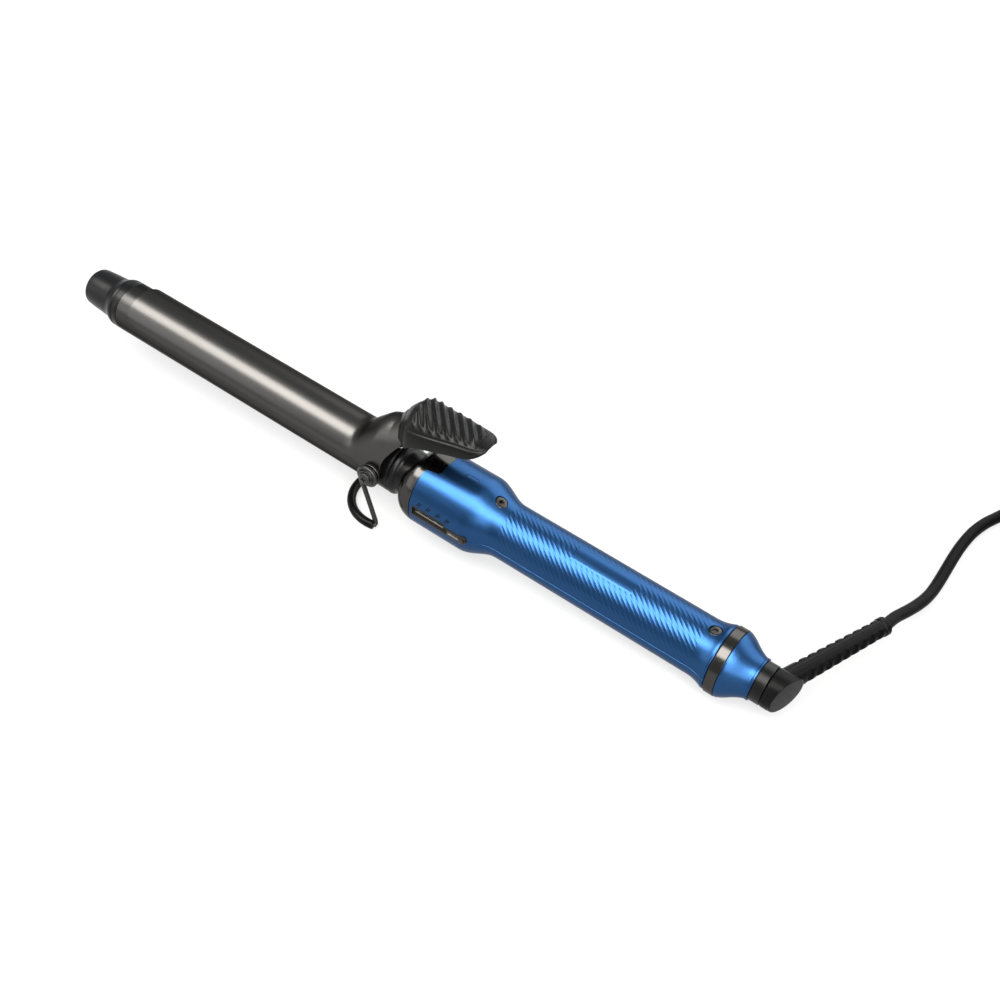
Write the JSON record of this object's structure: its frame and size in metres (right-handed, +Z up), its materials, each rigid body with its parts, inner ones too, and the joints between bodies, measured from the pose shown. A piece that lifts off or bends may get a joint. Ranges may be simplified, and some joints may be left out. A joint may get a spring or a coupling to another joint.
{
  "type": "curling iron",
  "caption": "Curling iron with a heated barrel, spring clamp with ribbed thumb pad, folding wire stand, temperature slide and a swivel cord with plug",
  "frame": {"origin": "centre of the iron's bounding box in X and Y, on the surface it rests on, measured without the free cord and its strain relief", "axes": "+X runs along the iron from the cool tip to the cord, +Z up, the clamp on top; the iron leans on its stand with the tip slightly raised"},
  "size_m": [0.5291, 0.2527, 0.0688],
  "materials": {
    "black_plastic": "fine satin moulding",
    "blue_shell": "metallic satin lacquer",
    "gunmetal": "satin metallic lacquer",
    "clamp_steel": "smooth coated steel",
    "barrel_coat": "ceramic coated",
    "spreader_alloy": "extruded",
    "heater_ceramic": "fired ceramic",
    "sensor_glass": "glass bead",
    "lead_sleeve": "glass fibre braid",
    "dark_steel": "black oxide",
    "plain_steel": "zinc plated",
    "chrome_bar": "polished",
    "bronze_frame": "dark bronze moulding",
    "board": "laminate with parts",
    "switch_case": "moulded",
    "led": "clear epoxy",
    "lens": "tinted window",
    "brass_contact": "stamped",
    "rubber_black": "matt",
    "cord_black": "smooth sheath",
    "plug_brass": "nickel plated"
  },
  "bodies": {
    "iron": {"cool_tip": "black_plastic", "barrel": "barrel_coat", "heat_spreader_upper": "spreader_alloy", "heat_spreader_lower": "spreader_alloy", "ptc_heater": "heater_ceramic", "thermal_fuse": "plain_steel", "temperature_sensor": "sensor_glass", "heater_leads": "lead_sleeve", "base_collar": "black_plastic", "pivot_screws": "dark_steel", "pivot_bushes": "plain_steel", "pivot_washers": "dark_steel", "front_trim": "gunmetal", "handle_upper": "blue_shell", "handle_lower": "blue_shell", "shell_screws": "plain_steel", "screw_plugs": "gunmetal", "slider_bezel": "bronze_frame", "slider_rail": "chrome_bar", "circuit_board": "board", "slide_switch": "switch_case", "indicator_led": "led", "indicator_lens": "lens", "tail_ring": "gunmetal", "tail_cone": "blue_shell", "swivel_bush": "black_plastic", "contact_springs": "brass_contact"},
    "clamp": {"clamp_sheet": "clamp_steel", "thumb_pad": "black_plastic", "pad_screw": "plain_steel", "clamp_spring": "plain_steel"},
    "stand": {"stand_wire": "dark_steel", "stand_sleeve": "rubber_black"},
    "temperature_slide": {"slider_knob": "bronze_frame", "slider_inlay": "chrome_bar"},
    "swivel": {"swivel_knob": "black_plastic", "swivel_clip": "plain_steel", "slip_rings": "brass_contact", "strain_relief": "rubber_black", "cord_lead": "cord_black", "cord_coil": "cord_black", "cord_tail": "cord_black", "plug_body": "black_plastic", "plug_pins": "plug_brass", "plug_boot": "rubber_black"}
  },
  "joints": [
    {"name": "clamp_hinge", "type": "hinge", "parent": "iron", "child": "clamp", "pos_m": [-0.00738, 0, 0.02904], "axis": [0, 1, 0], "range_deg": [0, 18], "stiffness_Nm_per_rad": 0.6, "springref_deg": -20.05, "deforming": ["clamp_spring"]},
    {"name": "stand_hinge", "type": "hinge", "parent": "iron", "child": "stand", "pos_m": [-0.00738, 0, 0.02904], "axis": [0, -1, 0], "range_deg": [-15, 45]},
    {"name": "temperature_slide", "type": "slide", "parent": "iron", "child": "temperature_slide", "axis": [-0.9984, 0, 0.0572], "range_m": [0, 0.0158]},
    {"name": "cord_swivel", "type": "hinge", "parent": "iron", "child": "swivel", "pos_m": [0.1889, 0, 0.01439], "axis": [0.9984, 0, -0.0572], "continuous": true}
  ]
}
